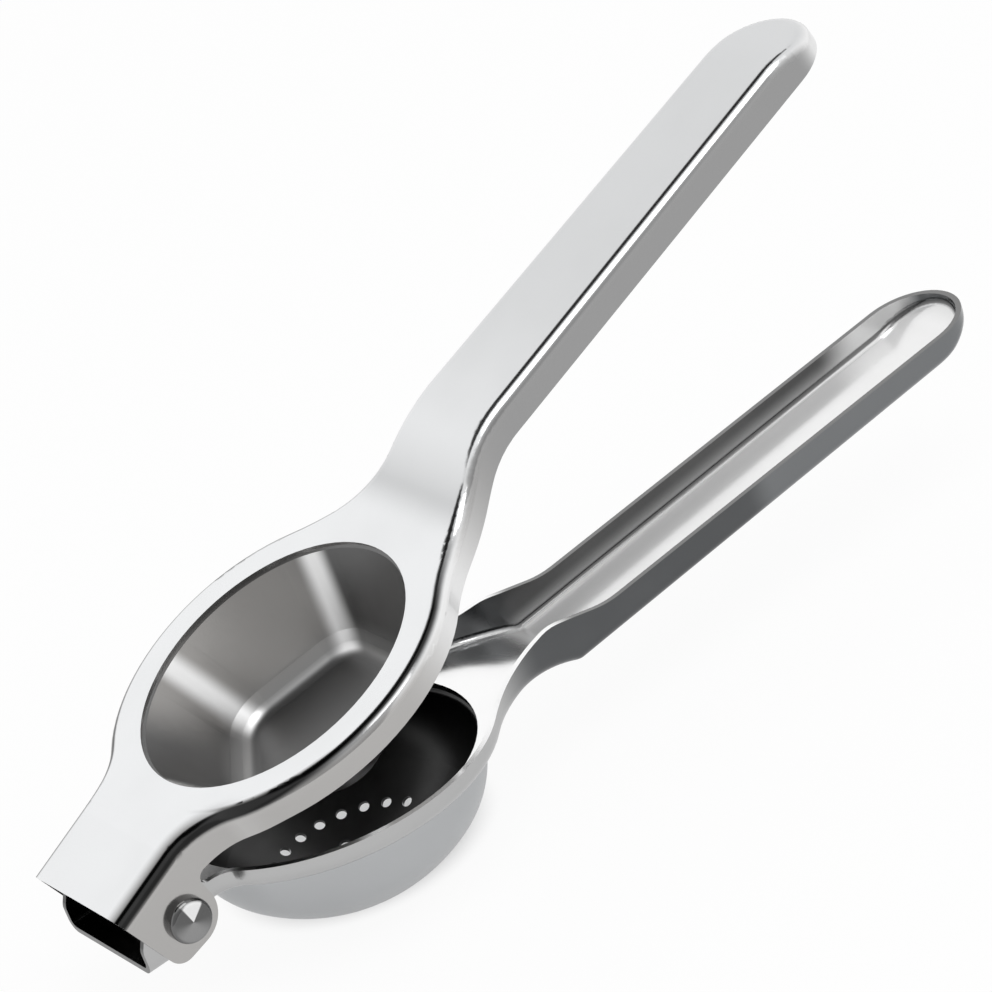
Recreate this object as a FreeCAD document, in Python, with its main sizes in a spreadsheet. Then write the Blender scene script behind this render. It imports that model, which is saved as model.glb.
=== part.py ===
import FreeCAD, Part
import Sketcher
import math
import os
import re
from FreeCAD import Placement, Rotation, Vector

# Hinged lemon squeezer, all in polished stainless sheet, millimetres.
# The lower lever lies level, +X runs from the hinge to the handle tips and +Z is up.
# The origin is the middle of the flat that the strainer bowl stands on.
# The upper lever is drawn closed and then swung open about the hinge pin.

SIZES = {
    # both levers
    "sheet_thickness": 1.2,
    "bend_radius": 2.6,
    "front_x": -58.0,
    "pin_x": -47.8,
    "lower_pin_z": 1.25,
    "closed_height": 14.05,
    "rest_opening": 17.0,
    # upper lever, seen from above
    "ring_clearance": 0.8,
    "upper_front_half_width": 17.0,
    "upper_neck_half_width": 12.7,
    "upper_neck_blend": 50.0,
    "upper_tip_radius": 11.2,
    "upper_tip_x": 163.8,
    # upper lever, seen from the side
    "upper_front_drop": 2.5,
    "upper_front_bend_x": -40.0,
    "upper_front_bend_radius": 40.0,
    "upper_ramp_start": 40.8,
    "upper_ramp_end": 55.2,
    "upper_ramp_rise": 8.4,
    "upper_ramp_radius": 32.0,
    "upper_handle_rise": 4.8,
    "upper_tip_bend_x": 151.0,
    "upper_tip_bend_radius": 25.0,
    "upper_tip_drop": 3.0,
    "upper_ring_flange": 6.0,
    "upper_handle_flange": 7.0,
    "upper_ear_flange": 8.0,
    "ear_radius": 6.5,
    "ear_rake": 3.1,
    "ear_corner_radius": 3.5,
    "ear_heel_radius": 2.2,
    "upper_flange_rise_x": -24.0,
    "upper_flange_blend": 20.0,
    "upper_flange_lag": 2.0,
    "upper_flange_ramp_radius": 25.0,
    # lower lever, seen from above
    "lower_ring_width": 4.8,
    "lower_mouth_overhang": 0.2,
    "lower_pin_x": -43.35,
    "lower_front_x": -53.5,
    "lower_neck_half_width": 11.9,
    "lower_neck_blend": 38.0,
    "lower_tip_radius": 11.9,
    "lower_tip_x": 166.5,
    "lower_front_blend": 5.0,
    "ear_clearance": 0.3,
    # lower lever, seen from the side
    "lower_hinge_drop": 5.9,
    "lower_hinge_ramp_end": -42.4,
    "lower_hinge_ramp_start": -38.2,
    "lower_hinge_ramp_radius": 3.1,
    "lower_scoop_start": 45.1,
    "lower_scoop_radius": 48.0,
    "lower_crease_x": 54.5,
    "lower_crease_drop": 3.7,
    "lower_crease_radius": 3.1,
    "lower_handle_rise": 10.6,
    "lower_tip_bend_x": 155.5,
    "lower_tip_bend_radius": 20.0,
    "lower_tip_lift": 4.6,
    "lower_ring_wall": 4.6,
    "lower_neck_wall": 7.4,
    "lower_ear_top": 6.2,
    "lower_ear_corner": 4.0,
    "lower_heel_radius": 1.5,
    "lower_front_rim": -0.5,
    "lower_front_corner": 3.0,
    "lower_hump_x": 49.5,
    "lower_hump_start": 28.5,
    "lower_hump_radius": 12.0,
    "lower_hump_blend": 25.0,
    "lower_dip_x": 63.5,
    "lower_dip_rim": 4.4,
    "lower_dip_radius": 20.0,
    "lower_tip_rim": 14.0,
    # pressed parts
    "pressing_thickness": 0.8,
    "lip_clearance": 0.3,
    "cup_mouth_radius": 30.0,
    "cup_depth": 19.0,
    "cup_base_radius": 20.5,
    "cup_base_corner": 8.0,
    "cup_waist_corner": 10.5,
    "cup_waist_height": 4.5,
    "cup_base_round": 4.6,
    "cup_corner_sweep": 24.0,
    "bowl_mouth_radius": 31.2,
    "bowl_shoulder_radius": 18.0,
    "bowl_straight_wall": 1.1,
    "bowl_depth": 23.4,
    "bowl_flat_radius": 8.8,
    "bowl_lip_round": 1.2,
    "drain_hole": 2.2,
    "inner_hole_circle": 5.5,
    "middle_hole_circle": 12.0,
    "outer_hole_circle": 18.5,
    # hinge pin
    "pin_diameter": 6.0,
    "pin_running_gap": 0.05,
    "pin_head_diameter": 9.0,
    "pin_head_height": 2.2,
    "pin_head_round": 1.2,
    "washer_diameter": 10.0,
    "washer_thickness": 0.8,
    "washer_clearance": 0.25,
    "pin_tail_diameter": 7.6,
    "pin_tail_height": 1.1,
    "pin_tail_round": 0.6,
}

doc = FreeCAD.newDocument("lemon_squeezer")
sheet = doc.addObject("Spreadsheet::Sheet", "sizes")
for row, (name, number) in enumerate(SIZES.items(), start=1):
    sheet.set("A%d" % row, name)
    sheet.set("B%d" % row, str(number))
    sheet.setAlias("B%d" % row, name)
doc.recompute()

UP = Vector(0, 0, 1)
ACROSS = Vector(0, 1, 0)
TOP_VIEW = Rotation()
SIDE_VIEW = Rotation(Vector(1, 0, 0), 90)


def linked(formula):
    """The formula with each size name pointing at its cell."""
    return re.sub(r"[a-z][a-z_]*", lambda word: ("sizes." if word[0] in SIZES else "") + word[0], formula)


def value(formula):
    return float(sheet.evalExpression(linked(formula)))


def constrain(sketch, name, kind, *terms):
    """Adds a dimension whose last term is a formula of sizes."""
    index = sketch.addConstraint(Sketcher.Constraint(kind, *terms[:-1], value(terms[-1])))
    sketch.renameConstraint(index, name)
    sketch.setExpression("Constraints." + name, linked(terms[-1]))


def new_sketch(name, view):
    sketch = doc.addObject("Sketcher::SketchObject", name)
    sketch.Placement = Placement(Vector(), view)
    return sketch


def finish_sketch(sketch):
    doc.recompute()
    if sketch.solve() != 0:
        raise RuntimeError(sketch.Name + " does not solve")
    return sketch


def side_outline(name, corners):
    """Closed side view from corners (x, z, radius); a radius of None is a sharp corner."""
    sketch = new_sketch(name, SIDE_VIEW)
    points = [Vector(value(x), value(z), 0) for x, z, _ in corners]
    count = len(points)
    starts, ends = list(points), list(points)
    for i, (_, _, radius) in enumerate(corners):
        if radius is None:
            continue
        before = (points[i - 1] - points[i]).normalize()
        after = (points[(i + 1) % count] - points[i]).normalize()
        half_turn = (math.pi - before.getAngle(after)) / 2
        reach = value(radius) * math.tan(half_turn)
        ends[i] = points[i] + before * reach
        starts[i] = points[i] + after * reach
    lines = []
    for i in range(count):
        lines.append(sketch.addGeometry(Part.LineSegment(starts[i], ends[(i + 1) % count]), False))
    for i, (x, z, radius) in enumerate(corners):
        into, away = lines[i - 1], lines[i]
        corner = "corner_%d" % i
        if radius is None:
            sketch.addConstraint(Sketcher.Constraint("Coincident", into, 2, away, 1))
            constrain(sketch, corner + "_x", "DistanceX", -1, 1, away, 1, x)
            constrain(sketch, corner + "_z", "DistanceY", -1, 1, away, 1, z)
            continue
        arc = sketch.addGeometry(bend(ends[i], starts[i], points[i], value(radius)), False)
        arc_start = sketch.Geometry[arc].StartPoint
        first, last = (1, 2) if arc_start.distanceToPoint(ends[i]) < 1e-6 else (2, 1)
        sketch.addConstraint(Sketcher.Constraint("Tangent", into, 2, arc, first))
        sketch.addConstraint(Sketcher.Constraint("Tangent", away, 1, arc, last))
        constrain(sketch, corner + "_radius", "Radius", arc, radius)
        vertex = sketch.addGeometry(Part.Point(points[i]), True)
        sketch.addConstraint(Sketcher.Constraint("PointOnObject", vertex, 1, into))
        sketch.addConstraint(Sketcher.Constraint("PointOnObject", vertex, 1, away))
        constrain(sketch, corner + "_x", "DistanceX", -1, 1, vertex, 1, x)
        constrain(sketch, corner + "_z", "DistanceY", -1, 1, vertex, 1, z)
    return finish_sketch(sketch)


def bend(start, end, corner, radius):
    """Arc of the radius from start to end, tangent to both sides of the corner."""
    inward = ((start + end) * 0.5 - corner).normalize()
    centre = corner + inward * math.hypot(radius, (start - corner).Length)
    middle = centre - inward * radius
    return arc_through(start, middle, end)


def arc_through(start, middle, end):
    curve = Part.ArcOfCircle(start, middle, end)
    circle = Part.Circle(curve.Center, Vector(0, 0, 1), curve.Radius)
    if curve.Axis.z > 0:
        return Part.ArcOfCircle(circle, circle.parameter(start), circle.parameter(end))
    return Part.ArcOfCircle(circle, circle.parameter(end), circle.parameter(start))


def plan_outline(name, front, front_half, front_blend, ring, neck_half, neck_blend, tip_x, tip, inset):
    """Closed top view of a lever: straight front, ring, waisted neck, handle and round tip.

    The blends beside the ring curve outwards, so an inset makes them larger.
    """
    sketch = new_sketch(name, TOP_VIEW)
    front_centre_y = "(%s + %s)" % (front_half, front_blend)
    front_centre_x = "-sqrt((%s + %s)^2 - %s^2)" % (ring, front_blend, front_centre_y)
    neck_centre_y = "(%s + %s)" % (neck_half, neck_blend)
    neck_centre_x = "sqrt((%s + %s)^2 - %s^2)" % (ring, neck_blend, neck_centre_y)
    tip_centre_x = "%s - %s" % (tip_x, tip)
    radii = {
        "ring": "%s - %s" % (ring, inset),
        "front": "%s + %s" % (front_blend, inset),
        "neck": "%s + %s" % (neck_blend, inset),
        "tip": "%s - %s" % (tip, inset),
    }
    front_centre = Vector(value(front_centre_x), value(front_centre_y), 0)
    neck_centre = Vector(value(neck_centre_x), value(neck_centre_y), 0)
    tip_centre = Vector(value(tip_centre_x), 0, 0)
    size_of = {key: value(formula) for key, formula in radii.items()}
    front_corner = Vector(value(front), value("%s - %s" % (front_half, inset)), 0)
    side_end = Vector(front_centre.x, front_corner.y, 0)
    ring_start = (front_centre * 1.0).normalize() * size_of["ring"]
    ring_end = (neck_centre * 1.0).normalize() * size_of["ring"]
    # the handle's straight side touches the neck blend from below and the tip from above
    gap = tip_centre - neck_centre
    lean = math.atan2(gap.y, gap.x) + math.asin((size_of["neck"] + size_of["tip"]) / gap.Length)
    square = Vector(-math.sin(lean), math.cos(lean), 0)
    side_start = neck_centre - square * size_of["neck"]
    tip_start = tip_centre + square * size_of["tip"]

    def mirrored(point):
        return Vector(point.x, -point.y, 0)

    def middle(centre, a, b, radius):
        return centre + (((a + b) * 0.5) - centre).normalize() * radius

    def arc(centre, a, b, radius):
        return sketch.addGeometry(arc_through(a, middle(centre, a, b, radius), b), False)

    def joined(first, point, second, kind):
        """Ties the ends of two neighbours that meet at the point."""
        ends = []
        for item in (first, second):
            shape = sketch.Geometry[item]
            ends.append(1 if shape.StartPoint.distanceToPoint(point) < 1e-5 else 2)
        sketch.addConstraint(Sketcher.Constraint(kind, first, ends[0], second, ends[1]))

    front_line = sketch.addGeometry(Part.LineSegment(front_corner, mirrored(front_corner)), False)
    constrain(sketch, "front_x", "DistanceX", -1, 1, front_line, 1, front)
    sketch.addConstraint(Sketcher.Constraint("Vertical", front_line))
    tip_arc = sketch.addGeometry(
        arc_through(tip_start, tip_centre + Vector(size_of["tip"], 0, 0), mirrored(tip_start)), False)
    constrain(sketch, "tip_radius", "Radius", tip_arc, radii["tip"])
    constrain(sketch, "tip_centre_x", "DistanceX", -1, 1, tip_arc, 3, tip_centre_x)
    sketch.addConstraint(Sketcher.Constraint("PointOnObject", tip_arc, 3, -1))
    for side, turn in (("far", lambda point: point), ("near", mirrored)):
        sign = "" if side == "far" else "-"
        straight = sketch.addGeometry(Part.LineSegment(turn(front_corner), turn(side_end)), False)
        blend = arc(turn(front_centre), turn(side_end), turn(ring_start), size_of["front"])
        ring_arc = arc(Vector(), turn(ring_start), turn(ring_end), size_of["ring"])
        neck = arc(turn(neck_centre), turn(ring_end), turn(side_start), size_of["neck"])
        grip = sketch.addGeometry(Part.LineSegment(turn(side_start), turn(tip_start)), False)
        joined(front_line, turn(front_corner), straight, "Coincident")
        joined(straight, turn(side_end), blend, "Tangent")
        joined(blend, turn(ring_start), ring_arc, "Tangent")
        joined(ring_arc, turn(ring_end), neck, "Tangent")
        joined(neck, turn(side_start), grip, "Tangent")
        joined(grip, turn(tip_start), tip_arc, "Tangent")
        sketch.addConstraint(Sketcher.Constraint("Coincident", ring_arc, 3, -1, 1))
        sketch.addConstraint(Sketcher.Constraint("Horizontal", straight))
        constrain(sketch, side + "_front_blend", "Radius", blend, radii["front"])
        constrain(sketch, side + "_front_blend_y", "DistanceY", -1, 1, blend, 3, sign + front_centre_y)
        constrain(sketch, side + "_ring", "Radius", ring_arc, radii["ring"])
        constrain(sketch, side + "_neck_blend", "Radius", neck, radii["neck"])
        constrain(sketch, side + "_neck_blend_y", "DistanceY", -1, 1, neck, 3, sign + neck_centre_y)
    return finish_sketch(sketch)


def extrusion(name, sketch, direction, length):
    """Solid from a sketch, drawn out to both sides of its plane."""
    solid = doc.addObject("Part::Extrusion", name)
    solid.Base = sketch
    solid.DirMode = "Custom"
    solid.Dir = direction
    solid.Solid = True
    solid.Symmetric = True
    solid.setExpression("LengthFwd", linked(length))
    return solid


def common(name, first, second):
    shared = doc.addObject("Part::Common", name)
    shared.Base = first
    shared.Tool = second
    doc.recompute()
    return shared


def cut(name, base, tool):
    rest = doc.addObject("Part::Cut", name)
    rest.Base = base
    rest.Tool = tool
    doc.recompute()
    return rest


def fused(name, base, tool):
    whole = doc.addObject("Part::Fuse", name)
    whole.Base = base
    whole.Tool = tool
    doc.recompute()
    return whole


def round_rims(name, base, radius, rims):
    """Rounds circular edges, each given by its radius and its distance along the turning axis."""
    doc.recompute()
    picked = []
    for i, edge in enumerate(base.Shape.Edges, start=1):
        if not isinstance(edge.Curve, Part.Circle):
            continue
        along = abs(edge.Curve.Center.dot(edge.Curve.Axis))
        for rim, distance in rims:
            if abs(edge.Curve.Radius - value(rim)) < 1e-6 and abs(along - value(distance)) < 1e-6:
                picked.append((i, value(radius), value(radius)))
    if len(picked) != len(rims):
        raise RuntimeError(name + " lost a rim")
    fillet = doc.addObject("Part::Fillet", name)
    fillet.Base = base
    fillet.Edges = picked
    doc.recompute()
    return fillet


# a face whose outward direction rises or falls by more than this counts as level
LEVEL = 0.6


def facing(face):
    """Outward direction of a face, taken at its middle."""
    first_u, last_u, first_v, last_v = face.ParameterRange
    return face.normalAt((first_u + last_u) / 2, (first_v + last_v) / 2)


def faces_up(face):
    return facing(face).z > LEVEL


def faces_down(face):
    return facing(face).z < -LEVEL


def faces_aside(face):
    return abs(facing(face).z) < LEVEL


def faces_out(face):
    """True for the upright walls that follow a lever's outline, round its tip too."""
    out = facing(face)
    along_tip = face.CenterOfMass.x > value("upper_tip_bend_x") and out.x > 0.5
    return abs(out.z) < 0.1 and (abs(out.y) > 0.3 or along_tip)


def rounded(name, base, radius, level, wall=faces_out):
    """The base with its edge rounded where the level faces meet the walls."""
    level_faces = [face for face in base.Shape.Faces if level(face)]
    wall_faces = [face for face in base.Shape.Faces if wall(face)]
    edges = []
    for number, edge in enumerate(base.Shape.Edges, start=1):
        on_level = any(edge.isSame(other) for face in level_faces for other in face.Edges)
        on_wall = any(edge.isSame(other) for face in wall_faces for other in face.Edges)
        if on_level and on_wall:
            edges.append((number, value(radius), value(radius)))
    fillet = doc.addObject("Part::Fillet", name)
    fillet.Base = base
    fillet.Edges = edges
    doc.recompute()
    return fillet


def cylinder(name, radius, height, base, axis):
    """Round tool of the radius, from the base point along the axis."""
    tool = doc.addObject("Part::Cylinder", name)
    tool.setExpression("Radius", linked(radius))
    tool.setExpression("Height", linked(height))
    tool.Placement = Placement(base, Rotation(UP, axis))
    return tool


# The lower ring stands out round the bowl's mouth, and the upper ring's flange clears its wall.
LOWER_RING_RADIUS = "(bowl_mouth_radius + lower_ring_width)"
UPPER_RING_RADIUS = "(%s + ring_clearance + sheet_thickness)" % LOWER_RING_RADIUS


def across_hinge(name, radius, pin_x, pin_z):
    """Tool that drills the pin's hole through both ears."""
    start = Vector(value(pin_x), -value(UPPER_RING_RADIUS), value(pin_z))
    return cylinder(name, radius, "2 * " + UPPER_RING_RADIUS, start, ACROSS)


# Upper lever: one stamping, its flange turned down all round and deepened into two hinge ears.
# Drawn closed, with the ring's centre at the origin and the ring's top face at height 0.
UPPER_PIN_Z = "lower_pin_z - closed_height"
UPPER_FRONT_SLOPE = "upper_front_drop / (upper_front_bend_x - front_x)"
WASHER_EDGE = "(washer_diameter / 2 + washer_clearance + pin_x)"
UPPER_FRONT_BLEND = "((%s^2 + upper_front_half_width^2 - %s^2) / (2 * (%s - upper_front_half_width)))" % (
    WASHER_EDGE, UPPER_RING_RADIUS, UPPER_RING_RADIUS)


def upper_top(drop, overrun):
    """Corners of the top face seen from the side, from the handle tip to the front."""
    front_z = "0 - %s - upper_front_drop - %s * %s" % (drop, overrun, UPPER_FRONT_SLOPE)
    return [
        ("upper_tip_x", "upper_ramp_rise + upper_handle_rise - upper_tip_drop - %s" % drop, None),
        ("upper_tip_bend_x", "upper_ramp_rise + upper_handle_rise - %s" % drop, "upper_tip_bend_radius"),
        ("upper_ramp_end", "upper_ramp_rise - %s" % drop, "upper_ramp_radius"),
        ("upper_ramp_start", "0 - %s" % drop, "upper_ramp_radius"),
        ("upper_front_bend_x", "0 - %s" % drop, "upper_front_bend_radius"),
        ("front_x - %s" % overrun, front_z, None),
    ]


def upper_plan(name, overrun, inset):
    return plan_outline(
        name, "front_x - %s" % overrun, "upper_front_half_width", UPPER_FRONT_BLEND,
        UPPER_RING_RADIUS, "upper_neck_half_width", "upper_neck_blend", "upper_tip_x",
        "upper_tip_radius", inset)


upper_skin = side_outline("upper_skin", upper_top("0", "0") + [
    ("front_x + ear_rake", UPPER_PIN_Z + " - ear_radius", "ear_corner_radius"),
    ("pin_x + ear_radius", UPPER_PIN_Z + " - ear_radius", "ear_radius"),
    ("pin_x + ear_radius", "0 - upper_ear_flange", "ear_heel_radius"),
    ("upper_flange_rise_x", "0 - upper_ring_flange", "upper_flange_blend"),
    ("upper_ramp_start + upper_flange_lag", "0 - upper_ring_flange", "upper_flange_ramp_radius"),
    ("upper_ramp_end + upper_flange_lag", "upper_ramp_rise - upper_handle_flange", "upper_flange_ramp_radius"),
    ("upper_tip_x", "upper_ramp_rise + upper_handle_rise - upper_handle_flange", None),
])
upper_block = common(
    "upper_block",
    extrusion("upper_skin_block", upper_skin, ACROSS, "4 * " + UPPER_RING_RADIUS),
    extrusion("upper_plan_block", upper_plan("upper_plan", "0", "0"), UP, "8 * " + UPPER_RING_RADIUS))
upper_outer = rounded("upper_outer", upper_block, "bend_radius", faces_up)

upper_lining = side_outline("upper_lining", upper_top("sheet_thickness", "sheet_thickness") + [
    ("front_x - sheet_thickness", "0 - " + UPPER_RING_RADIUS, None),
    ("upper_tip_x", "0 - " + UPPER_RING_RADIUS, None),
])
upper_hollow_block = common(
    "upper_hollow_block",
    extrusion("upper_lining_block", upper_lining, ACROSS, "4 * " + UPPER_RING_RADIUS),
    extrusion("upper_hollow_plan_block", upper_plan("upper_hollow_plan", "sheet_thickness", "sheet_thickness"),
              UP, "8 * " + UPPER_RING_RADIUS))
upper_hollow = rounded("upper_hollow", upper_hollow_block, "bend_radius - sheet_thickness", faces_up)
upper_shell = cut("upper_shell", upper_outer, upper_hollow)
upper_ring = cut("upper_ring", upper_shell, cylinder(
    "upper_mouth", "cup_mouth_radius", UPPER_RING_RADIUS, Vector(0, 0, -value("upper_ring_flange")), UP))
upper_lever = cut("upper_lever", upper_ring, across_hinge(
    "upper_pin_hole", "pin_diameter / 2", "pin_x", UPPER_PIN_Z))

# Lower lever: one stamping, its wall turned up all round, with a deeper channel at the hinge
# and a scoop where the ring's plate runs down into the trough of the handle.
# The ring's centre is the origin and the underside of the ring's plate is height 0.
LOWER_FRONT_HALF = "(upper_front_half_width - sheet_thickness - ear_clearance)"


def lower_floor(lift, overrun):
    """Corners of the floor seen from the side, from the front to the handle tip."""
    return [
        ("lower_front_x - %s" % overrun, "%s - lower_hinge_drop" % lift, None),
        ("lower_hinge_ramp_end", "%s - lower_hinge_drop" % lift, "lower_hinge_ramp_radius"),
        ("lower_hinge_ramp_start", lift, "lower_hinge_ramp_radius"),
        ("lower_scoop_start", lift, "lower_scoop_radius"),
        ("lower_crease_x", "%s - lower_crease_drop" % lift, "lower_crease_radius"),
        ("lower_tip_bend_x", "%s - lower_crease_drop + lower_handle_rise" % lift, "lower_tip_bend_radius"),
        ("lower_tip_x", "%s - lower_crease_drop + lower_handle_rise + lower_tip_lift" % lift, None),
    ]


def lower_plan(name, overrun, inset):
    return plan_outline(
        name, "lower_front_x - %s" % overrun, LOWER_FRONT_HALF, "lower_front_blend",
        LOWER_RING_RADIUS, "lower_neck_half_width", "lower_neck_blend", "lower_tip_x",
        "lower_tip_radius", inset)


lower_skin = side_outline("lower_skin", lower_floor("0", "0") + [
    ("lower_tip_x", "lower_tip_rim", None),
    ("lower_dip_x", "lower_dip_rim", "lower_dip_radius"),
    ("lower_hump_x", "lower_neck_wall", "lower_hump_radius"),
    ("lower_hump_start", "lower_ring_wall", "lower_hump_blend"),
    ("lower_pin_x + ear_radius + ear_clearance", "lower_ring_wall", "lower_heel_radius"),
    ("lower_pin_x + lower_ear_top / 2", "lower_pin_z + lower_ear_top", "lower_ear_corner"),
    ("lower_pin_x - lower_ear_top", "lower_pin_z + lower_ear_top", "lower_ear_corner"),
    ("lower_front_x", "lower_front_rim", "lower_front_corner"),
])
lower_block = common(
    "lower_block",
    extrusion("lower_skin_block", lower_skin, ACROSS, "4 * " + LOWER_RING_RADIUS),
    extrusion("lower_plan_block", lower_plan("lower_plan", "0", "0"), UP, "8 * " + LOWER_RING_RADIUS))
lower_outer = rounded("lower_outer", lower_block, "bend_radius", faces_down)

lower_lining = side_outline("lower_lining", lower_floor("sheet_thickness", "sheet_thickness") + [
    ("lower_tip_x", LOWER_RING_RADIUS, None),
    ("lower_front_x - sheet_thickness", LOWER_RING_RADIUS, None),
])
lower_hollow_block = common(
    "lower_hollow_block",
    extrusion("lower_lining_block", lower_lining, ACROSS, "4 * " + LOWER_RING_RADIUS),
    extrusion("lower_hollow_plan_block", lower_plan("lower_hollow_plan", "sheet_thickness", "sheet_thickness"),
              UP, "8 * " + LOWER_RING_RADIUS))
lower_hollow = rounded("lower_hollow", lower_hollow_block, "bend_radius - sheet_thickness", faces_down)
lower_shell = cut("lower_shell", lower_outer, lower_hollow)
lower_ring = cut("lower_ring", lower_shell, cylinder(
    "lower_mouth", "bowl_mouth_radius - lower_mouth_overhang", LOWER_RING_RADIUS,
    Vector(0, 0, -value("lower_ring_wall")), UP))
lower_lever = cut("lower_lever", lower_ring, across_hinge(
    "lower_pin_hole", "pin_diameter / 2 + pin_running_gap", "lower_pin_x", "lower_pin_z"))


# Press cup: a thin pressing whose lip sits under the upper ring. The round mouth runs down
# to a five-sided base with one corner towards the hinge.
CUP_SIDES = 5
CORNER_STEP = 360 / CUP_SIDES
MOUTH_HALF_WALL = "(pressing_thickness / 2)"
CUP_BASE_CENTRES = "(cup_base_radius - cup_base_corner)"


def polar(radius, degrees):
    """Formulas of the point at the radius and the angle about the ring's centre."""
    return "%s * cos(%s)" % (radius, degrees), "%s * sin(%s)" % (radius, degrees)


def at(formulas):
    return Vector(value(formulas[0]), value(formulas[1]), 0)


def corner_angle(i):
    return "%s" % (CORNER_STEP * (i + 0.5))


def cup_mouth_outline(name, radius, level):
    """Circle in ten arcs, one for each corner and each side of the base."""
    sketch = new_sketch(name, TOP_VIEW)
    sketch.Placement.Base = Vector(0, 0, value(level))
    turns = []
    for i in range(CUP_SIDES):
        turns.append("%s - cup_corner_sweep / 2" % corner_angle(i))
        turns.append("%s + cup_corner_sweep / 2" % corner_angle(i))
    turns.append("360 + " + turns[0])
    circle = Part.Circle(Vector(), UP, value(radius))
    arcs = []
    for start, end in zip(turns, turns[1:]):
        arcs.append(sketch.addGeometry(
            Part.ArcOfCircle(circle, math.radians(value(start)), math.radians(value(end))), False))
    for i, arc in enumerate(arcs):
        sketch.addConstraint(Sketcher.Constraint("Coincident", arc, 3, -1, 1))
        if i:
            sketch.addConstraint(Sketcher.Constraint("Coincident", arcs[i - 1], 2, arc, 1))
    constrain(sketch, "radius", "Radius", arcs[0], radius)
    for i, turn in enumerate(turns):
        arc, end = (arcs[i], 1) if i < len(arcs) else (arcs[-1], 2)
        x, y = polar("(%s)" % radius, turn)
        if abs(value(x)) > abs(value(y)):
            constrain(sketch, "turn_%d" % i, "DistanceY", -1, 1, arc, end, y)
        else:
            constrain(sketch, "turn_%d" % i, "DistanceX", -1, 1, arc, end, x)
    return finish_sketch(sketch)


def cup_base_outline(name, corner_radius, level):
    """Five-sided outline with rounded corners."""
    sketch = new_sketch(name, TOP_VIEW)
    sketch.Placement.Base = Vector(0, 0, value(level))
    size = value(corner_radius)
    arcs, sides = [], []
    for i in range(CUP_SIDES):
        middle = math.radians(value(corner_angle(i)))
        half = math.radians(CORNER_STEP / 2)
        circle = Part.Circle(at(polar(CUP_BASE_CENTRES, corner_angle(i))), UP, size)
        arcs.append(sketch.addGeometry(Part.ArcOfCircle(circle, middle - half, middle + half), False))
    for i in range(CUP_SIDES):
        start = sketch.Geometry[arcs[i]].EndPoint
        end = sketch.Geometry[arcs[(i + 1) % CUP_SIDES]].StartPoint
        sides.append(sketch.addGeometry(Part.LineSegment(start, end), False))
    for i in range(CUP_SIDES):
        x, y = polar(CUP_BASE_CENTRES, corner_angle(i))
        constrain(sketch, "corner_%d_x" % i, "DistanceX", -1, 1, arcs[i], 3, x)
        constrain(sketch, "corner_%d_y" % i, "DistanceY", -1, 1, arcs[i], 3, y)
        constrain(sketch, "corner_%d_radius" % i, "Radius", arcs[i], corner_radius)
        sketch.addConstraint(Sketcher.Constraint("Tangent", arcs[i], 2, sides[i], 1))
        sketch.addConstraint(Sketcher.Constraint("Tangent", sides[i], 2, arcs[(i + 1) % CUP_SIDES], 1))
    return finish_sketch(sketch)


def cup_skin(name, side, inset, base_round):
    """Solid within one face of the cup's wall, its base edge rounded."""
    top = cup_mouth_outline(name + "_mouth", "cup_mouth_radius %s" % side, "0 - sheet_thickness")
    waist = cup_base_outline(
        name + "_waist", "cup_waist_corner - %s" % inset, "cup_waist_height - sheet_thickness - cup_depth")
    base = cup_base_outline(
        name + "_base", "cup_base_corner - %s" % inset, "%s - sheet_thickness - cup_depth" % inset)
    foot = rounded(
        name + "_foot", lofted(name + "_foot_blank", waist, base), base_round, faces_down, faces_aside)
    return fused(name, lofted(name + "_wall", top, waist), foot)


def lofted(name, first, second):
    loft = doc.addObject("Part::Loft", name)
    loft.Sections = [first, second]
    loft.Solid = True
    loft.Ruled = True
    doc.recompute()
    return loft


def disc(name, radius, height, level):
    return cylinder(name, radius, height, Vector(0, 0, value(level)), UP)


cup_outer = cup_skin("cup_outer", "+ " + MOUTH_HALF_WALL, "0", "cup_base_round")
cup_inner = cup_skin(
    "cup_inner", "- " + MOUTH_HALF_WALL, "pressing_thickness", "cup_base_round - pressing_thickness")
cup_lip = disc(
    "cup_lip", UPPER_RING_RADIUS + " - bend_radius - lip_clearance", "pressing_thickness",
    "0 - sheet_thickness - pressing_thickness")
cup_with_lip = fused("cup_with_lip", cup_outer, cup_lip)
press_cup = cut("press_cup", cup_with_lip, cup_inner)

# Strainer bowl: drawn from thin sheet, its lip fixed under the lower ring. Holes in three rings
# drain the flat and the crown, each drilled square to the crown. The crown has the one radius
# that meets both the edge of the flat and the shoulder.
BOWL_DROP = "(bowl_depth - bowl_straight_wall)"
BOWL_SPARE = "(%s^2 - bowl_shoulder_radius^2)" % BOWL_DROP
BOWL_EXCESS = "((bowl_mouth_radius - bowl_shoulder_radius)^2 + %s - bowl_flat_radius^2)" % BOWL_SPARE
BOWL_CROWN_RADIUS = (
    "((bowl_shoulder_radius * %s + %s * sqrt(%s^2 + 4 * bowl_flat_radius^2 * %s)) / (2 * %s))"
    % (BOWL_EXCESS, BOWL_DROP, BOWL_EXCESS, BOWL_SPARE, BOWL_SPARE))
BOWL_CROWN_Z = "(sqrt(%s^2 - bowl_flat_radius^2) - bowl_depth)" % BOWL_CROWN_RADIUS
BOWL_LIP_RADIUS = "(%s - bend_radius - lip_clearance)" % LOWER_RING_RADIUS


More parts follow.
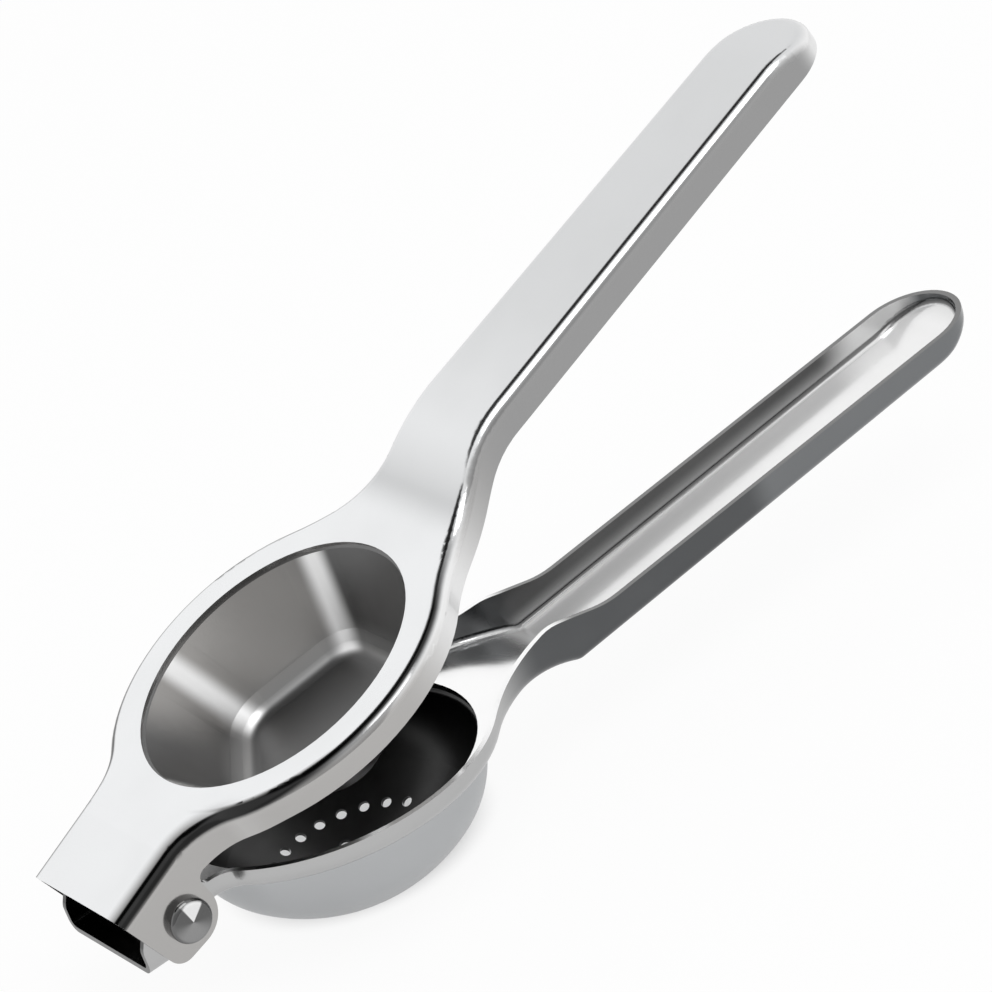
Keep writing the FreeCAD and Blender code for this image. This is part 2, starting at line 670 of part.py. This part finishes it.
def bowl_skin(sketch, skin, inset, top):
    """One face of the bowl's wall: upright rim, shoulder, crown and half of the flat."""
    wall_x = value("bowl_mouth_radius - %s" % inset)
    shoulder = value("bowl_shoulder_radius - %s" % inset)
    crown = value("%s - %s" % (BOWL_CROWN_RADIUS, inset))
    crown_centre = Vector(0, value(BOWL_CROWN_Z), 0)
    reach = value("bowl_mouth_radius - bowl_shoulder_radius")
    drop = math.sqrt((crown - shoulder) ** 2 - reach ** 2)
    shoulder_centre = crown_centre + Vector(reach, -drop, 0)
    flat_z = value("%s - bowl_depth" % inset)
    outwards = (shoulder_centre - crown_centre).normalize()
    flat_corner = Vector(math.sqrt(crown ** 2 - (crown_centre.y - flat_z) ** 2), flat_z, 0)
    wall_end = Vector(wall_x, shoulder_centre.y, 0)
    wall = sketch.addGeometry(Part.LineSegment(Vector(wall_x, value(top), 0), wall_end), False)
    turn = math.atan2(outwards.y, outwards.x)
    shoulder_arc = sketch.addGeometry(
        Part.ArcOfCircle(Part.Circle(shoulder_centre, UP, shoulder), turn, 0), False)
    flat_turn = math.atan2(flat_corner.y - crown_centre.y, flat_corner.x)
    crown_arc = sketch.addGeometry(
        Part.ArcOfCircle(Part.Circle(crown_centre, UP, crown), flat_turn, turn), False)
    flat = sketch.addGeometry(Part.LineSegment(flat_corner, Vector(0, flat_z, 0)), False)
    constrain(sketch, skin + "_wall_x", "DistanceX", -1, 1, wall, 1, "bowl_mouth_radius - %s" % inset)
    constrain(sketch, skin + "_top", "DistanceY", -1, 1, wall, 1, top)
    sketch.addConstraint(Sketcher.Constraint("Vertical", wall))
    sketch.addConstraint(Sketcher.Constraint("Tangent", wall, 2, shoulder_arc, 2))
    constrain(sketch, skin + "_shoulder", "Radius", shoulder_arc, "bowl_shoulder_radius - %s" % inset)
    sketch.addConstraint(Sketcher.Constraint("Tangent", shoulder_arc, 1, crown_arc, 2))
    constrain(sketch, skin + "_crown", "Radius", crown_arc, "%s - %s" % (BOWL_CROWN_RADIUS, inset))
    sketch.addConstraint(Sketcher.Constraint("PointOnObject", crown_arc, 3, -2))
    constrain(sketch, skin + "_crown_z", "DistanceY", -1, 1, crown_arc, 3, BOWL_CROWN_Z)
    sketch.addConstraint(Sketcher.Constraint("Coincident", crown_arc, 1, flat, 1))
    sketch.addConstraint(Sketcher.Constraint("Horizontal", flat))
    constrain(sketch, skin + "_flat", "DistanceY", -1, 1, flat, 1, "%s - bowl_depth" % inset)
    sketch.addConstraint(Sketcher.Constraint("PointOnObject", flat, 2, -2))
    return wall, flat


bowl_profile = new_sketch("bowl_profile", SIDE_VIEW)
outer_wall, outer_flat = bowl_skin(bowl_profile, "outer", "0", "0 - pressing_thickness")
inner_wall, inner_flat = bowl_skin(bowl_profile, "inner", "pressing_thickness", "0")
lip_corners = [
    bowl_profile.Geometry[outer_wall].StartPoint,
    Vector(value(BOWL_LIP_RADIUS), -value("pressing_thickness"), 0),
    Vector(value(BOWL_LIP_RADIUS), 0, 0),
    bowl_profile.Geometry[inner_wall].StartPoint,
]
lip_under, lip_edge, lip_face = [
    bowl_profile.addGeometry(Part.LineSegment(a, b), False) for a, b in zip(lip_corners, lip_corners[1:])]
axis_line = bowl_profile.addGeometry(Part.LineSegment(
    bowl_profile.Geometry[inner_flat].EndPoint, bowl_profile.Geometry[outer_flat].EndPoint), False)
for first, first_end, second, second_end in (
        (outer_wall, 1, lip_under, 1), (lip_under, 2, lip_edge, 1), (lip_edge, 2, lip_face, 1),
        (lip_face, 2, inner_wall, 1), (inner_flat, 2, axis_line, 1), (axis_line, 2, outer_flat, 2)):
    bowl_profile.addConstraint(Sketcher.Constraint("Coincident", first, first_end, second, second_end))
bowl_profile.addConstraint(Sketcher.Constraint("Horizontal", lip_under))
bowl_profile.addConstraint(Sketcher.Constraint("Vertical", lip_edge))
bowl_profile.addConstraint(Sketcher.Constraint("Horizontal", lip_face))
constrain(bowl_profile, "lip_radius", "DistanceX", -1, 1, lip_edge, 1, BOWL_LIP_RADIUS)
finish_sketch(bowl_profile)
bowl_turned = doc.addObject("Part::Revolution", "bowl_turned")
bowl_turned.Source = bowl_profile
bowl_turned.Axis = UP
bowl_turned.Solid = True
doc.recompute()
bowl_wall = round_rims("bowl_wall", bowl_turned, "bowl_lip_round", [
    ("bowl_mouth_radius - pressing_thickness", "0")])
INNER_HOLE_COUNT = 6
drills = []
for step, ring in enumerate(("inner_hole_circle", "middle_hole_circle", "outer_hole_circle")):
    count = INNER_HOLE_COUNT * 2 ** step
    lean = math.asin(value(ring) / value(BOWL_CROWN_RADIUS))
    for i in range(count):
        turn = 2 * math.pi * (i + 0.5) / count
        outwards = Vector(math.cos(turn), math.sin(turn), 0)
        axis = outwards * math.sin(lean) - UP * math.cos(lean)
        foot = UP * value(BOWL_CROWN_Z) + axis * value("%s - 3 * pressing_thickness" % BOWL_CROWN_RADIUS)
        drills.append(cylinder(
            "%s_%d" % (ring, i), "drain_hole / 2", "6 * pressing_thickness", foot, axis))
drill_set = doc.addObject("Part::Compound", "drain_holes")
drill_set.Links = drills
doc.recompute()
strainer_bowl = cut("strainer_bowl", bowl_wall, drill_set)

# Hinge pin: a turned rivet with a low polished head on the near side. It grips the upper ears,
# turns in the lower walls and is peened over the washer on the far side.
PIN_SEAT = value("upper_front_half_width")
pin_point = Vector(value("pin_x"), 0, value(UPPER_PIN_Z))
pin_shank = cylinder(
    "pin_shank", "pin_diameter / 2", "2 * upper_front_half_width + washer_thickness",
    pin_point - ACROSS * PIN_SEAT, ACROSS)
pin_head = round_rims("pin_head", cylinder(
    "pin_head_blank", "pin_head_diameter / 2", "pin_head_height",
    pin_point - ACROSS * PIN_SEAT, -ACROSS), "pin_head_round", [
        ("pin_head_diameter / 2", "upper_front_half_width + pin_head_height")])
pin_tail = round_rims("pin_tail", cylinder(
    "pin_tail_blank", "pin_tail_diameter / 2", "pin_tail_height",
    pin_point + ACROSS * value("upper_front_half_width + washer_thickness"), ACROSS), "pin_tail_round", [
        ("pin_tail_diameter / 2", "upper_front_half_width + washer_thickness + pin_tail_height")])
hinge_pin = fused("hinge_pin", fused("pin_with_head", pin_shank, pin_head), pin_tail)
pin_washer = cut("pin_washer", cylinder(
    "washer_blank", "washer_diameter / 2", "washer_thickness", pin_point + ACROSS * PIN_SEAT, ACROSS),
    cylinder("washer_hole", "pin_diameter / 2", "washer_thickness", pin_point + ACROSS * PIN_SEAT, ACROSS))

# Stands on the bowl's flat; the upper group is swung open about the pin.
lower_place = Placement(Vector(0, 0, value("bowl_depth")), Rotation())
closed_place = Placement(
    Vector(value("lower_pin_x - pin_x"), 0, value("bowl_depth + closed_height")), Rotation())
upper_place = closed_place.multiply(Placement(
    Vector(), Rotation(-ACROSS, value("rest_opening")), pin_point))
PIECES = {
    "lower_lever": (lower_lever, lower_place),
    "strainer_bowl": (strainer_bowl, lower_place),
    "upper_lever": (upper_lever, upper_place),
    "press_cup": (press_cup, upper_place),
    "hinge_pin": (hinge_pin, upper_place),
    "pin_washer": (pin_washer, upper_place),
}
for label, (piece, place) in PIECES.items():
    piece.Label = label
    piece.Placement = place
doc.recompute()

os.makedirs("parts", exist_ok=True)
for item in doc.Objects:
    if "Invalid" in item.State or "Error" in item.State:
        raise RuntimeError(item.Name + " did not build")
for label, (piece, _) in PIECES.items():
    shape = piece.Shape
    if shape.isNull() or not shape.isValid() or len(shape.Solids) != 1:
        raise RuntimeError(label + " is not one sound solid")
    shape.exportStep("parts/%s.step" % label)
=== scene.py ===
# Hinged lemon squeezer of polished stainless sheet: two levers on one pin, the upper one with
# a press cup, the lower one with a strainer bowl. Lengths are in metres.
import math
import bpy
from mathutils import Matrix, Vector

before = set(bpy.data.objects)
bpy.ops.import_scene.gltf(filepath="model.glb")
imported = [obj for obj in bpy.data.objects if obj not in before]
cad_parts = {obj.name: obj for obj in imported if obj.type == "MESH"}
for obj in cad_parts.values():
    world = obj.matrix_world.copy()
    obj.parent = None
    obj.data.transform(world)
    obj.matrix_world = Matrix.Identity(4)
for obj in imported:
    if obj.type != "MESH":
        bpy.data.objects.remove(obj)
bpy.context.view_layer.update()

# Studio: the squeezer stands on a pale sweep and is seen from above its hinge end, the camera
# rolled so that the levers run up the picture. The rows are the camera's right, down and
# forward directions.
PICTURE = 992
SENSOR_WIDTH = 36.0
FOCAL_PIXELS = 5007.8
CAMERA_PLACE = Vector((-0.32211, -0.77699, 0.48399))
CAMERA_RIGHT = Vector((0.77175, -0.55047, -0.31841))
CAMERA_DOWN = Vector((-0.50154, -0.21902, -0.83695))
CAMERA_FORWARD = Vector((0.39098, 0.80561, -0.44511))
scene = bpy.context.scene
scene.view_settings.view_transform = "Standard"
camera_data = bpy.data.cameras.new("studio_camera")
camera_data.sensor_width = SENSOR_WIDTH
camera_data.lens = FOCAL_PIXELS * SENSOR_WIDTH / PICTURE
camera = bpy.data.objects.new("studio_camera", camera_data)
turn = Matrix((CAMERA_RIGHT, -CAMERA_DOWN, -CAMERA_FORWARD)).transposed().to_4x4()
camera.matrix_world = Matrix.Translation(CAMERA_PLACE) @ turn
scene.collection.objects.link(camera)
scene.camera = camera


class Value:
    """A number that varies over a surface. Sums on it add the nodes that work it out."""

    def __init__(self, nodes, socket):
        self.nodes = nodes
        self.socket = socket

    def sum(self, operation, first, second=None):
        settings = {"operation": operation}
        terms = [first] if second is None else [first, second]
        return self.nodes.add("ShaderNodeMath", settings, dict(enumerate(terms)))

    def __add__(self, other):
        return self.sum("ADD", self, other)

    __radd__ = __add__

    def __sub__(self, other):
        return self.sum("SUBTRACT", self, other)

    def __rsub__(self, other):
        return self.sum("SUBTRACT", other, self)

    def __mul__(self, other):
        return self.sum("MULTIPLY", self, other)

    __rmul__ = __mul__

    def __pow__(self, other):
        return self.sum("POWER", self, other)

    def larger(self, other):
        return self.sum("MAXIMUM", self, other)

    def size(self):
        return self.sum("ABSOLUTE", self)

    def between(self, low, high):
        """0 below low, 1 above high, and a smooth step from one to the other."""
        return self.nodes.add("ShaderNodeMapRange", {"interpolation_type": "SMOOTHSTEP"}, {
            "Value": self, "From Min": low, "From Max": high})


class Nodes:
    """The node tree of a finish, filled one node at a time."""

    def __init__(self, tree):
        self.tree = tree
        tree.nodes.clear()

    def add(self, kind, settings, sockets, output=0):
        """A node of the kind; its settings are made first, then its sockets."""
        node = self.tree.nodes.new(kind)
        for name, setting in settings.items():
            setattr(node, name, setting)
        for name, value in sockets.items():
            if isinstance(value, Value):
                self.tree.links.new(value.socket, node.inputs[name])
            else:
                node.inputs[name].default_value = value
        return Value(self, node.outputs[output]) if node.outputs else None

    def along(self, vector, direction):
        """How far the vector reaches along the direction."""
        return self.add("ShaderNodeVectorMath", {"operation": "DOT_PRODUCT"}, {
            0: vector, 1: direction}, "Value")

    def blend(self, share, first, second):
        """The first colour where the share is 0, the second where it is 1."""
        return self.add("ShaderNodeMix", {"data_type": "RGBA"}, {0: share, 6: first, 7: second}, 2)


def grey(level, warmth=0.0):
    return (level * (1 + warmth), level, level * (1 - warmth), 1.0)


# Air: white all round, with a dark panel overhead that draws the thin dark line along the
# polished bends, and a grey screen low in front that the upright faces and the cup pick up.
world = bpy.data.worlds.new("studio_air")
world.use_nodes = True
scene.world = world
air = Nodes(world.node_tree)
towards = air.add("ShaderNodeTexCoord", {}, {}, "Generated")
aside = air.along(towards, (1.0, 0.0, 0.0))
back = air.along(towards, (0.0, 1.0, 0.0))
height = air.along(towards, (0.0, 0.0, 1.0))
panel = (back - 0.5 * aside).between(-0.02, 0.13) * height.between(0.77, 0.86)
screen = (-1 * back).between(0.1, 0.3) * (1 - height.between(0.66, 0.80)) * (1 - aside.between(0.14, 0.26))
room = air.blend(panel, air.blend(screen, grey(1.0), grey(0.55)), grey(0.02))
seen = air.add("ShaderNodeLightPath", {}, {}, "Is Camera Ray")
air.add("ShaderNodeOutputWorld", {}, {"Surface": air.add("ShaderNodeBackground", {}, {
    "Color": air.blend(seen, room, grey(1.0)), "Strength": 1.0})})


# Floor: white paper that keeps the squeezer's shadow. In the close space under the bowl, where
# the drain holes look down on it, its glow is cut back by place: a painted shadow that deepens
# the real shadow there.
FLOOR_HALF = 1.6
SHADOW_PAINT_MIDDLE = (0.006, 0.012, 0.0)
SHADOW_PAINT_REACH = (0.018, 0.030)
floor_mesh = bpy.data.meshes.new("floor")
floor_mesh.from_pydata(
    [(-FLOOR_HALF, -FLOOR_HALF, 0), (FLOOR_HALF, -FLOOR_HALF, 0), (FLOOR_HALF, FLOOR_HALF, 0),
     (-FLOOR_HALF, FLOOR_HALF, 0)], [], [(0, 1, 2, 3)])
floor = bpy.data.objects.new("floor", floor_mesh)
scene.collection.objects.link(floor)
paper = bpy.data.materials.new("white_paper")
paper.use_nodes = True
sheet = Nodes(paper.node_tree)
lit = sheet.add("ShaderNodeBsdfDiffuse", {}, {"Color": grey(0.9)})
glow = sheet.add("ShaderNodeEmission", {}, {"Color": grey(1.0), "Strength": 1.0})
seen = sheet.add("ShaderNodeLightPath", {}, {}, "Is Camera Ray")
mirrored = sheet.add("ShaderNodeLightPath", {}, {}, "Is Glossy Ray")
spot = sheet.add("ShaderNodeTexCoord", {}, {}, "Object")
spot_out = sheet.add("ShaderNodeVectorMath", {"operation": "DISTANCE"}, {
    0: spot, 1: SHADOW_PAINT_MIDDLE}, "Value")
# Painted shadow: near this middle the floor's glow is cut to a quarter.
painted_shadow_mask = 1 - spot_out.between(*SHADOW_PAINT_REACH)
sheet.add("ShaderNodeOutputMaterial", {}, {"Surface": sheet.add("ShaderNodeMixShader", {}, {
    0: (seen * 0.93 + mirrored * 0.5) * (1 - 0.75 * painted_shadow_mask), 1: lit, 2: glow})})
floor_mesh.materials.append(paper)


def soft_lamp(name, place, aim, width, power):
    """A square soft box at the place, facing the aim."""
    data = bpy.data.lights.new(name, "AREA")
    data.size = width
    data.energy = power
    lamp = bpy.data.objects.new(name, data)
    place = Vector(place)
    lamp.location = place
    lamp.rotation_euler = (Vector(aim) - place).to_track_quat("-Z", "Y").to_euler()
    scene.collection.objects.link(lamp)


soft_lamp("box_in_front", (0.1, -0.62, 1.25), (0.02, 0.0, 0.04), 0.7, 4.0)


# Upper lever: one pressing of 1.2 mm stainless sheet, its flange turned down all round. The
# face is polished; its colour holds painted light and shade: painted bright at the ring and
# greyer along the handle, the near flange painted grey, and a painted dark band following the
# near edge from the hinge to the ring. A pair of lengths is where a tone starts and where it
# is full.
def steel(name, roughness, scratch, tone, metal=1.0):
    """Polished sheet; tone gives its colour, painted light and shade included, from the place and the
    facing of a point.
    """
    material = bpy.data.materials.new(name)
    material.use_nodes = True
    nodes = Nodes(material.node_tree)
    place = nodes.add("ShaderNodeTexCoord", {}, {}, "Object")
    facing = nodes.add("ShaderNodeTexCoord", {}, {}, "Normal")
    cloud = nodes.add("ShaderNodeTexNoise", {}, {"Vector": place, "Scale": 45.0, "Detail": 3.0})
    haze = nodes.add("ShaderNodeTexNoise", {}, {"Vector": place, "Scale": 400.0, "Detail": 4.0})
    wipes = nodes.add("ShaderNodeMapping", {}, {"Vector": place, "Scale": (120.0, 2600.0, 2600.0)})
    wiped = nodes.add("ShaderNodeTexNoise", {}, {"Vector": wipes, "Scale": 1.0, "Detail": 3.0})
    smudges = (cloud - 0.35).between(0.0, 0.5) * 0.1
    colour = nodes.blend(smudges, tone(nodes, place, facing), grey(0.4))
    rough = roughness + 0.05 * cloud + 0.04 * haze - 0.045
    bump = nodes.add("ShaderNodeBump", {}, {
        "Strength": scratch, "Distance": 0.00002, "Height": 0.5 * wiped + 0.5 * haze})
    surface = nodes.add("ShaderNodeBsdfPrincipled", {}, {
        "Base Color": colour, "Metallic": metal(nodes, place, facing) if callable(metal) else metal,
        "Roughness": rough, "Normal": bump})
    nodes.add("ShaderNodeOutputMaterial", {}, {"Surface": surface})
    return material


def finish_node(node, material):
    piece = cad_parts[node]
    for slot in piece.material_slots:
        slot.material = material


OPENING = math.radians(17)
UPPER_ALONG = Vector((math.cos(OPENING), 0.0, math.sin(OPENING)))
UPPER_LEVEL = Vector((-math.sin(OPENING), 0.0, math.cos(OPENING)))
RING_MIDDLE = Vector((-0.00138, 0.0, 0.05087))
UPPER_RING = 0.038
FLARE_BACK = 0.04255
FLARE_ASIDE = 0.0326
FLARE_RADIUS = 0.0156
EDGE_BAND = (0.0012, 0.0055)
EDGE_BAND_END = (-0.038, -0.024)
RIM_LINE = (0.0018, 0.0030)
RIM_LINE_START = (-0.034, -0.029)
RIM_LINE_END = (-0.016, -0.008)
RIM_LINE_ASIDE = (0.020, 0.030)
EARS_END = (-0.036, -0.030)


def facing_inwards(nodes, place, facing):
    """1 on the faces of the ears and walls that look at the middle of the sheet part."""
    sideways = nodes.add("ShaderNodeVectorMath", {"operation": "MULTIPLY"}, {
        0: place, 1: (0.0, 1.0, 0.0)})
    return (-1000 * nodes.along(facing, sideways)).between(3.0, 8.0)


def upper_tone(nodes, place, facing):
    level = nodes.along(facing, UPPER_LEVEL)
    outwards = nodes.along(place, (1.0, 0.0, 0.0))
    # Painted shade: the face is painted darker along the handle than on the ring.
    top = nodes.blend(outwards.between(0.02, 0.09), grey(0.87, -0.01), grey(0.68, -0.01))
    # Painted shade: flanges facing the near side are painted mid grey, darkest along the handle, while the
    # other flanges are painted light.
    near = nodes.along(facing, (-0.3, -0.95, 0.0)).between(0.55, 0.92)
    flange = nodes.blend(outwards.between(0.02, 0.06), grey(0.46, 0.02), grey(0.34))
    side = nodes.blend(near, grey(0.85), flange)
    from_middle = nodes.add("ShaderNodeVectorMath", {"operation": "SUBTRACT"}, {
        0: place, 1: RING_MIDDLE})
    along = nodes.along(from_middle, UPPER_ALONG)
    past = (along + FLARE_BACK).larger(0.0)
    away = nodes.along(place, (0.0, 1.0, 0.0)) + FLARE_ASIDE
    from_edge = (past * past + away * away) ** 0.5 - FLARE_RADIUS
    # Painted shade: a dark band along the near edge of the flare at the hinge end, fading out towards the
    # ring.
    painted_edge_shade = (1 - from_edge.between(*EDGE_BAND)) * (1 - along.between(*EDGE_BAND_END))
    from_rim = UPPER_RING - nodes.add("ShaderNodeVectorMath", {"operation": "LENGTH"}, {
        0: from_middle}, "Value")
    # Painted reflection: a thin dark line just inside the ring's rim, on its near side, from the flare
    # part way round the ring.
    line = (1 - from_rim.between(*RIM_LINE)) * along.between(*RIM_LINE_START)
    line = line * (1 - along.between(*RIM_LINE_END)) * (1 - away.between(*RIM_LINE_ASIDE))
    flat = nodes.blend((painted_edge_shade * 0.9).larger(line * 0.9), top, grey(0.12, 0.04))
    sheet_tone = nodes.blend(level.between(0.3, 0.95), side, flat)
    ring = outwards.between(-0.030, -0.014)
    # Painted reflection: a near-black line along the bends from face to flange, at the hinge end and round
    # the ring.
    painted_bend_line = (level - 0.35 * ring).between(0.15, 0.5) * (1 - level.between(0.93, 0.995))
    painted_bend_line = painted_bend_line * (1 - outwards.between(0.02, 0.05))
    with_bend_line = nodes.blend(painted_bend_line, sheet_tone, grey(0.03))
    # Painted shade: at the ears, faces turned down and faces looking into the sheet part are painted dark.
    inner_shade = (-1 * level).between(0.3, 0.6).larger(facing_inwards(nodes, place, facing))
    return nodes.blend(inner_shade * (1 - outwards.between(*EARS_END)), with_bend_line, grey(0.12))


finish_node("upper_lever", steel("upper_polish", 0.16, 0.1, upper_tone))


# Press cup: pressed from thin stainless sheet and fixed under the upper ring by its lip. Its
# five walls run from the round mouth down to a five-sided base. Its colour is painted light and
# shade: painted highlights down the five corners, walls painted by the way they face, and the
# base painted dark.
CUP_WALLS = 5
CUP_CORNERS = [2 * math.pi * (i + 0.5) / CUP_WALLS for i in range(CUP_WALLS)]
CUP_FOOT = (0.0131, 0.0191)
FOLD_START = (0.010, 0.014)
FOLD_WIDTH = (0.0006, 0.0042)
ACROSS = Vector((0.0, 1.0, 0.0))


def cup_tone(nodes, place, facing):
    level = nodes.along(facing, UPPER_LEVEL)
    from_middle = nodes.add("ShaderNodeVectorMath", {"operation": "SUBTRACT"}, {
        0: place, 1: RING_MIDDLE})
    # Painted highlight: a bright band along each of the five corners.
    all_corner_glints = None
    for turn in CUP_CORNERS:
        outwards = math.cos(turn) * UPPER_ALONG + math.sin(turn) * ACROSS
        sideways = math.cos(turn) * ACROSS - math.sin(turn) * UPPER_ALONG
        here = nodes.along(from_middle, outwards).between(*FOLD_START)
        one_corner_glint = here * (1 - nodes.along(from_middle, sideways).size().between(*FOLD_WIDTH))
        all_corner_glints = one_corner_glint if all_corner_glints is None else all_corner_glints.larger(one_corner_glint)
    # Painted shade: walls facing the front are painted mid grey, the others near black.
    painted_front_light = nodes.along(facing, (0.0, -1.0, 0.0)).between(0.45, 0.75)
    wall = nodes.blend(all_corner_glints, nodes.blend(painted_front_light, grey(0.13), grey(0.34, 0.03)), grey(0.92))
    # Painted shade and highlight: near the base the walls are painted mid grey and the corners light; the
    # base itself is painted dark.
    depth = -1 * nodes.along(from_middle, UPPER_LEVEL)
    foot = nodes.blend(depth.between(*CUP_FOOT), wall, nodes.blend(all_corner_glints, grey(0.34), grey(0.85)))
    return nodes.blend(level.between(0.80, 0.99), foot, grey(0.19))


finish_node("press_cup", steel("cup_polish", 0.38, 0.1, cup_tone))


# Lower lever: one pressing of the same sheet, like the upper lever turned over, with its wall
# turned up all round to make a trough. The trough's floor is brushed, and the walls are painted
# darker as painted shade.
LOWER_UP = (0.0, 0.0, 1.0)
RIM_LEVEL = (-0.105, 0.0, 1.0)
TIP_LEVEL = (-0.418, 0.0, 1.0)
RIM_HEIGHT = (0.0165, 0.0185)
TIP_HEIGHT = (-0.0338, -0.0328)
WALL_SHADE = (0.0135, 0.0195)
CHANNEL_END = (-0.040, -0.034)
RING_PLATE = (0.020, 0.034)
NECK = (0.028, 0.045)
TROUGH_FLOOR = (0.048, 0.053)
HANDLE_START = (0.050, 0.056)
WALL_CHANGE = (0.100, 0.107)
TIP_START = (0.138, 0.150)


def lower_rim(nodes, place):
    """1 along the top edge of the handle's wall, straight stretch and raised tip."""
    straight = nodes.along(place, RIM_LEVEL).between(*RIM_HEIGHT)
    return straight * nodes.along(place, TIP_LEVEL).between(*TIP_HEIGHT)


def lower_tone(nodes, place, facing):
    level = nodes.along(facing, LOWER_UP)
    outwards = nodes.along(place, (1.0, 0.0, 0.0))
    inner = facing_inwards(nodes, place, facing)
    handle = outwards.between(*HANDLE_START)
    # Painted shade: walls are painted mid grey at the ring, near black from the neck on and dark grey
    # towards the handle's end; the handle's inner walls are painted lighter low down and near black at the
    # top.
    ring = nodes.blend(outwards.between(*NECK), grey(0.5), grey(0.11, -0.03))
    outer_wall = nodes.blend(outwards.between(*WALL_CHANGE), ring, grey(0.2, -0.03))
    shade = nodes.along(place, RIM_LEVEL).between(*WALL_SHADE)
    inner_wall = nodes.blend(shade, grey(0.55), grey(0.09))
    # Painted highlight: the inner wall is painted light towards the tip.
    inner_wall = nodes.blend(outwards.between(*TIP_START), inner_wall, grey(0.7))
    wall = nodes.blend(inner * handle, outer_wall, inner_wall)
    sheet_tone = nodes.blend(level.between(0.3, 0.95), wall, grey(0.97))
    # Painted shade: along the handle the bends between floor and wall are painted near black.
    crease_shade = handle * level.between(0.2, 0.4) * (1 - level.between(0.7, 0.9))
    crease_shaded = nodes.blend(crease_shade * 0.85, sheet_tone, grey(0.05))
    # The top edge of the handle's wall is darker grey.
    rim = handle * lower_rim(nodes, place)
    rim_darker = nodes.blend(rim * level.between(0.5, 0.8), crease_shaded, grey(0.2))
    # Painted shade: at the front end of the channel, under the hinge, faces turned up, inwards and
    # forwards are painted near black.
    front = 1 - outwards.between(*CHANNEL_END)
    inner_shade = level.between(0.2, 0.5).larger(inner)
    edge = nodes.along(facing, (-1.0, 0.0, 0.0)).between(0.5, 0.9)
    return nodes.blend(front * inner_shade.larger(edge * 0.8), rim_darker, grey(0.05))


def lower_metal(nodes, place, facing):
    """How much the lower lever shines: less on the ring's plate, least on the trough's floor."""
    level = nodes.along(facing, LOWER_UP).between(0.6, 0.95)
    outwards = nodes.along(place, (1.0, 0.0, 0.0))
    brushed = 0.3 * outwards.between(*RING_PLATE) + 0.3 * outwards.between(*TROUGH_FLOOR)
    return 1 - level * brushed * (1 - lower_rim(nodes, place))


finish_node("lower_lever", steel("lower_polish", 0.16, 0.1, lower_tone, lower_metal))


# Strainer bowl: drawn from thin stainless sheet, satin outside and painted near black inside as
# painted shade, its lip fixed under the lower ring.
BOWL_MIDDLE = Vector((0.0, 0.0, 0.030))


def bowl_tone(nodes, place, facing):
    from_middle = nodes.add("ShaderNodeVectorMath", {"operation": "SUBTRACT"}, {
        0: place, 1: BOWL_MIDDLE})
    # Painted shade: faces looking into the bowl are painted near black.
    outside = (1000 * nodes.along(facing, from_middle)).between(-1.0, 1.0)
    return nodes.blend(outside, grey(0.05), grey(0.5, -0.02))


finish_node("strainer_bowl", steel("bowl_satin", 0.3, 0.2, bowl_tone))


# Hinge pin: a turned and polished rivet through the ears of both levers. Its head carries a
# painted highlight, a bright wedge, on painted shade that is darker on the wedge's side.
PIN_MIDDLE = Vector((-0.04335, 0.0, 0.02465))
GLINT_ANGLE = math.radians(74)
GLINT_DIRECTION = Vector((math.cos(GLINT_ANGLE), 0.0, math.sin(GLINT_ANGLE)))


def pin_tone(nodes, place, facing):
    head = nodes.along(facing, (0.0, -1.0, 0.0)).between(0.7, 0.98)
    from_middle = nodes.add("ShaderNodeVectorMath", {"operation": "SUBTRACT"}, {
        0: place, 1: PIN_MIDDLE})
    flat = nodes.add("ShaderNodeVectorMath", {"operation": "MULTIPLY"}, {
        0: from_middle, 1: (1.0, 0.0, 1.0)})
    outwards = nodes.add("ShaderNodeVectorMath", {"operation": "NORMALIZE"}, {0: flat})
    # Painted highlight: a narrow bright wedge on the head, out from its middle; round it the head is
    # painted darker on the wedge's side.
    toward_glint = nodes.along(outwards, GLINT_DIRECTION)
    face = nodes.blend((-1 * toward_glint).between(-0.2, 0.9), grey(0.12), grey(0.3))
    face = nodes.blend(toward_glint.between(0.80, 0.87), face, grey(0.9))
    return nodes.blend(head, grey(0.15), face)


finish_node("hinge_pin", steel("pin_polish", 0.14, 0.1, pin_tone))


# Pin washer: a plain stamped washer under the pin's peened end, on the far side.
def washer_tone(nodes, place, facing):
    face = nodes.along(facing, (0.0, 1.0, 0.0)).between(0.6, 0.95)
    return nodes.blend(face, grey(0.7), grey(0.6))


finish_node("pin_washer", steel("washer_polish", 0.2, 0.1, washer_tone))
